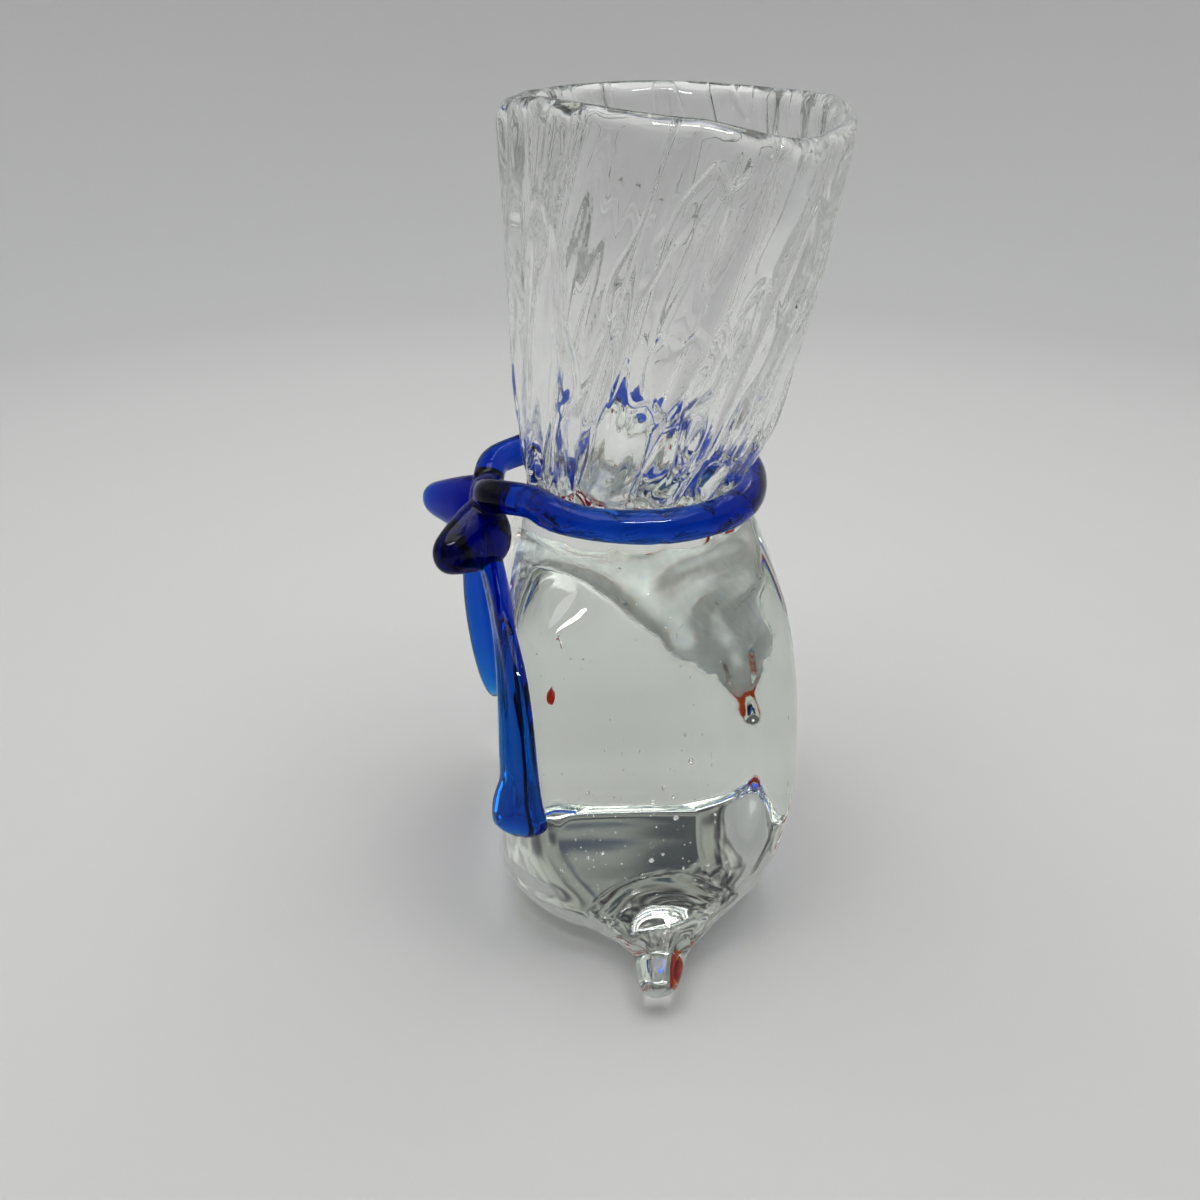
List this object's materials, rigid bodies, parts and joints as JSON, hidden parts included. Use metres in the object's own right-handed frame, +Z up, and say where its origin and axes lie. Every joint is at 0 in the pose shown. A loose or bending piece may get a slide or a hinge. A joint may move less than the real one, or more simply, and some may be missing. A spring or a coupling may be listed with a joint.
{
  "type": "goldfish paperweight",
  "caption": "Heavy clear glass paperweight shaped as a tied bag with a goldfish inside, an open ribbed neck, a blue glass cord and bow, and a pulled corner tip; it stands on a flat base.",
  "frame": {"origin": "on the ground flat of the base, below the middle of the neck", "axes": "+Z up, -Y to the front with the bow and the fish, +X to the pulled bag corner, on the right seen from the front"},
  "size_m": [0.1095, 0.0878, 0.169],
  "materials": {
    "clear_glass": "fire-polished clear glass with seed bubbles, faint grey-green tint in the thick parts",
    "blue_glass": "fire-polished transparent cobalt blue glass, nearly black where thick",
    "fish_red_glass": "opaque red to orange glass, cased",
    "fish_fin_glass": "orange-red glass drawn out thin, cased",
    "white_glass": "opaque white glass, cased",
    "black_glass": "opaque black glass, cased"
  },
  "bodies": {
    "root": {"bag_core": "clear_glass", "bag_casing": "clear_glass", "bag_neck": "clear_glass", "bag_corner_right": "clear_glass", "neck_cord": "blue_glass", "bow_knot": "blue_glass", "bow_loop_right": "blue_glass", "bow_loop_left": "blue_glass", "bow_tail_right": "blue_glass", "bow_tail_left": "blue_glass", "fish_body": "fish_red_glass", "fish_tail_fin": "fish_fin_glass", "fish_dorsal_fin": "fish_fin_glass", "fish_pelvic_fin": "fish_fin_glass", "fish_anal_fin": "fish_fin_glass", "fish_side_fin_front": "fish_fin_glass", "fish_side_fin_back": "fish_fin_glass", "fish_eye_front": "white_glass", "fish_eye_back": "white_glass", "fish_pupil_front": "black_glass", "fish_pupil_back": "black_glass"}
  },
  "joints": []
}
